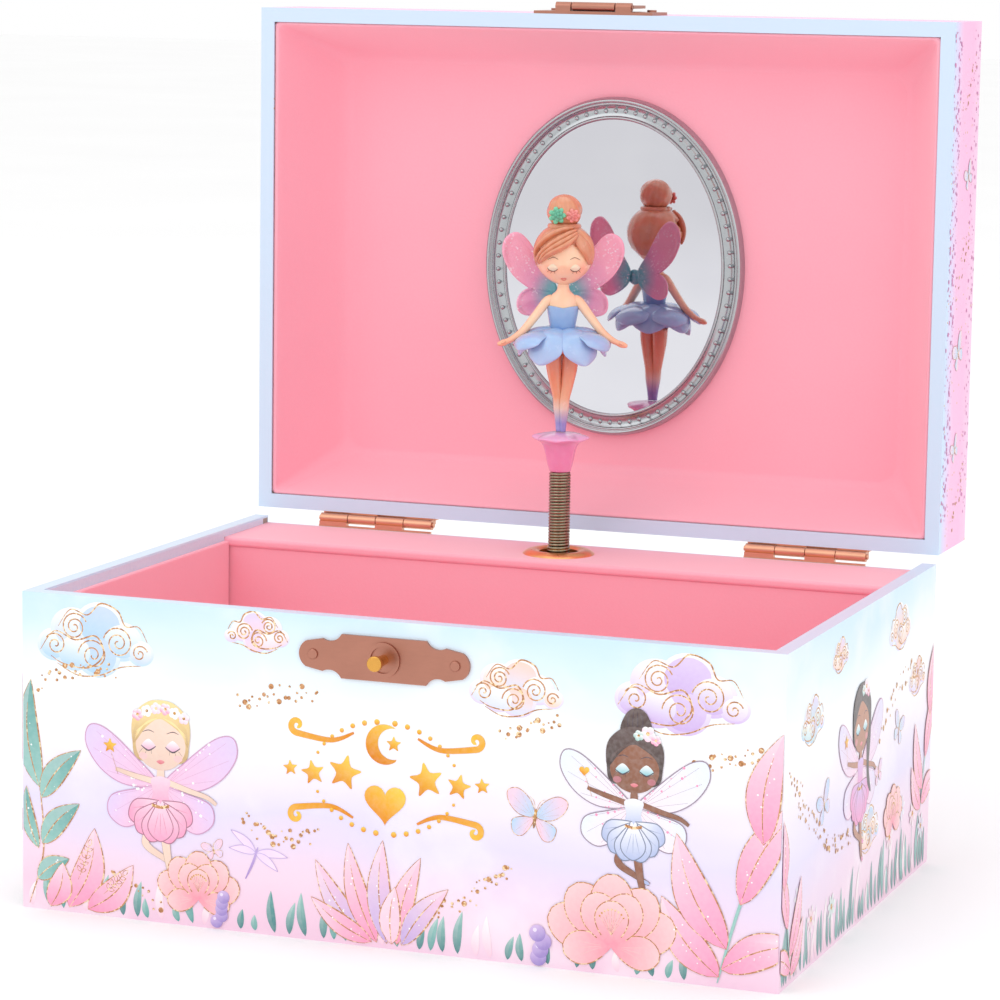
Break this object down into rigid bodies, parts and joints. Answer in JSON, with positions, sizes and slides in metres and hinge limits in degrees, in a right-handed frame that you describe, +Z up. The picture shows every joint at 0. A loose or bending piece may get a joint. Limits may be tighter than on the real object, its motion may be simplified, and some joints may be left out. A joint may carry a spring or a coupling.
{
  "type": "musical jewellery box",
  "caption": "Paper-covered jewellery box with a mirrored hinged lid, a turning doll on a spring and a key-wound music movement.",
  "frame": {"origin": "centre of the underside of the base, where the box rests", "axes": "+Z up; the front with the catch faces -Y; +X to the viewer's right from the front"},
  "size_m": [0.152, 0.1374, 0.1741],
  "materials": {
    "greyboard": "stiff grey paperboard",
    "printed_paper": "laminated printed paper",
    "pink_lining": "pink padded paper",
    "rose_gold": "satin rose gold plating",
    "brass": "turned brass",
    "copper": "copper plated eyelet",
    "steel": "zinc plated steel",
    "mirror": "silvered glass",
    "chrome": "plated beaded frame",
    "spring_steel": "bronzed spring wire",
    "pink_plastic": "moulded pink plastic",
    "doll_plastic": "painted moulded plastic",
    "wing_plastic": "glittered pink plastic"
  },
  "bodies": {
    "base": {"base_bottom_board": "greyboard", "base_front_board": "greyboard", "base_back_board": "greyboard", "base_left_board": "greyboard", "base_right_board": "greyboard", "base_wrap": "printed_paper", "tray_floor_lining": "pink_lining", "tray_wall_linings": "pink_lining", "compartment_wall": "pink_lining", "compartment_cover": "pink_lining", "spindle_grommet": "copper", "catch_plate": "rose_gold", "catch_stud": "brass", "catch_rivets": "rose_gold", "hinge_base_leaves": "rose_gold", "hinge_pins": "rose_gold", "hinge_base_screws": "rose_gold", "movement_bedplate": "steel", "movement_brackets": "steel", "comb_bed": "steel", "music_comb": "steel", "comb_screws": "steel", "movement_screws": "steel"},
    "lid": {"lid_top_board": "greyboard", "lid_front_board": "greyboard", "lid_back_board": "greyboard", "lid_left_board": "greyboard", "lid_right_board": "greyboard", "lid_wrap": "printed_paper", "lid_ceiling_lining": "pink_lining", "lid_wall_lining": "pink_lining", "mirror_glass": "mirror", "mirror_frame": "chrome", "hinge_lid_leaves": "rose_gold", "hinge_lid_screws": "rose_gold", "hasp_plate": "rose_gold", "hasp_rivets": "rose_gold", "hasp_pin": "rose_gold"},
    "hasp": {"hasp_flap": "rose_gold"},
    "key": {"winding_key": "steel", "winding_arbor": "steel"},
    "barrel": {"mainspring_barrel": "brass", "barrel_cover": "brass", "mainspring": "spring_steel"},
    "cylinder": {"music_cylinder": "brass", "cylinder_arbor": "steel", "cylinder_gears": "brass"},
    "layshaft": {"layshaft": "brass"},
    "governor": {"governor_fly": "brass"},
    "spindle": {"crown_wheel": "brass", "spindle": "spring_steel"},
    "stop": {"stop_wire": "steel"},
    "spring_1": {"spring_segment_1": "spring_steel"},
    "spring_2": {"spring_segment_2": "spring_steel"},
    "spring_3": {"spring_segment_3": "spring_steel"},
    "spring_4": {"spring_segment_4": "spring_steel"},
    "spring_5": {"spring_segment_5": "spring_steel"},
    "doll": {"doll_cup": "pink_plastic", "doll_figure": "doll_plastic", "doll_wings": "wing_plastic"}
  },
  "joints": [
    {"name": "lid_hinge", "type": "hinge", "parent": "base", "child": "lid", "pos_m": [0, 0.0554, 0.0622], "axis": [1, 0, 0], "range_deg": [0, 90]},
    {"name": "hasp_hinge", "type": "hinge", "parent": "lid", "child": "hasp", "pos_m": [-0.001, 0.05665, 0.1732], "axis": [1, 0, 0], "range_deg": [0, 180]},
    {"name": "key_wind", "type": "hinge", "parent": "base", "child": "key", "pos_m": [0.0433, 0.054, 0.024], "axis": [0, 1, 0], "continuous": true},
    {"name": "cylinder_turn", "type": "hinge", "parent": "base", "child": "cylinder", "pos_m": [0.02, 0.042, 0.024], "axis": [1, 0, 0], "continuous": true},
    {"name": "barrel_turn", "type": "hinge", "parent": "base", "child": "barrel", "pos_m": [0.0433, 0.042, 0.024], "axis": [0, 1, 0], "continuous": true},
    {"name": "layshaft_turn", "type": "hinge", "parent": "base", "child": "layshaft", "pos_m": [-0.02, 0.0385, 0.01571], "axis": [1, 0, 0], "continuous": true},
    {"name": "governor_turn", "type": "hinge", "parent": "base", "child": "governor", "pos_m": [-0.02, 0.0437, 0.03], "axis": [0, 0, 1], "continuous": true},
    {"name": "spindle_turn", "type": "hinge", "parent": "base", "child": "spindle", "pos_m": [-0.0015, 0.042, 0.04], "axis": [0, 0, 1], "continuous": true},
    {"name": "stop_slide", "type": "slide", "parent": "base", "child": "stop", "axis": [0, 0, -1], "range_m": [0, 0.0025]},
    {"name": "spring_bend_1", "type": "hinge", "parent": "base", "child": "spring_1", "pos_m": [-0.0015, 0.0397, 0.062], "axis": [1, 0, 0], "range_deg": [0, 21]},
    {"name": "spring_bend_2", "type": "hinge", "parent": "spring_1", "child": "spring_2", "pos_m": [-0.0015, 0.0397, 0.0651], "axis": [1, 0, 0], "range_deg": [0, 21]},
    {"name": "spring_bend_3", "type": "hinge", "parent": "spring_2", "child": "spring_3", "pos_m": [-0.0015, 0.0397, 0.0682], "axis": [1, 0, 0], "range_deg": [0, 21]},
    {"name": "spring_bend_4", "type": "hinge", "parent": "spring_3", "child": "spring_4", "pos_m": [-0.0015, 0.0397, 0.0713], "axis": [1, 0, 0], "range_deg": [0, 21]},
    {"name": "spring_bend_5", "type": "hinge", "parent": "spring_4", "child": "spring_5", "pos_m": [-0.0015, 0.0397, 0.0744], "axis": [1, 0, 0], "range_deg": [0, 21]},
    {"name": "doll_turn", "type": "hinge", "parent": "spring_5", "child": "doll", "pos_m": [-0.0015, 0.042, 0.0775], "axis": [0, 0, 1], "continuous": true}
  ],
  "couplings": [
    {"joint": "spring_bend_1", "follows": "lid_hinge", "ratio": 0.23333},
    {"joint": "spring_bend_2", "follows": "lid_hinge", "ratio": 0.23333},
    {"joint": "spring_bend_3", "follows": "lid_hinge", "ratio": 0.23333},
    {"joint": "spring_bend_4", "follows": "lid_hinge", "ratio": 0.23333},
    {"joint": "spring_bend_5", "follows": "lid_hinge", "ratio": 0.23333},
    {"joint": "stop_slide", "follows": "lid_hinge", "m_per_rad": 0.0015915},
    {"joint": "barrel_turn", "follows": "cylinder_turn", "ratio": 0.3},
    {"joint": "layshaft_turn", "follows": "cylinder_turn", "ratio": -3.5},
    {"joint": "governor_turn", "follows": "cylinder_turn", "ratio": 14},
    {"joint": "spindle_turn", "follows": "cylinder_turn", "ratio": -0.45},
    {"joint": "doll_turn", "follows": "cylinder_turn", "ratio": -0.45}
  ]
}
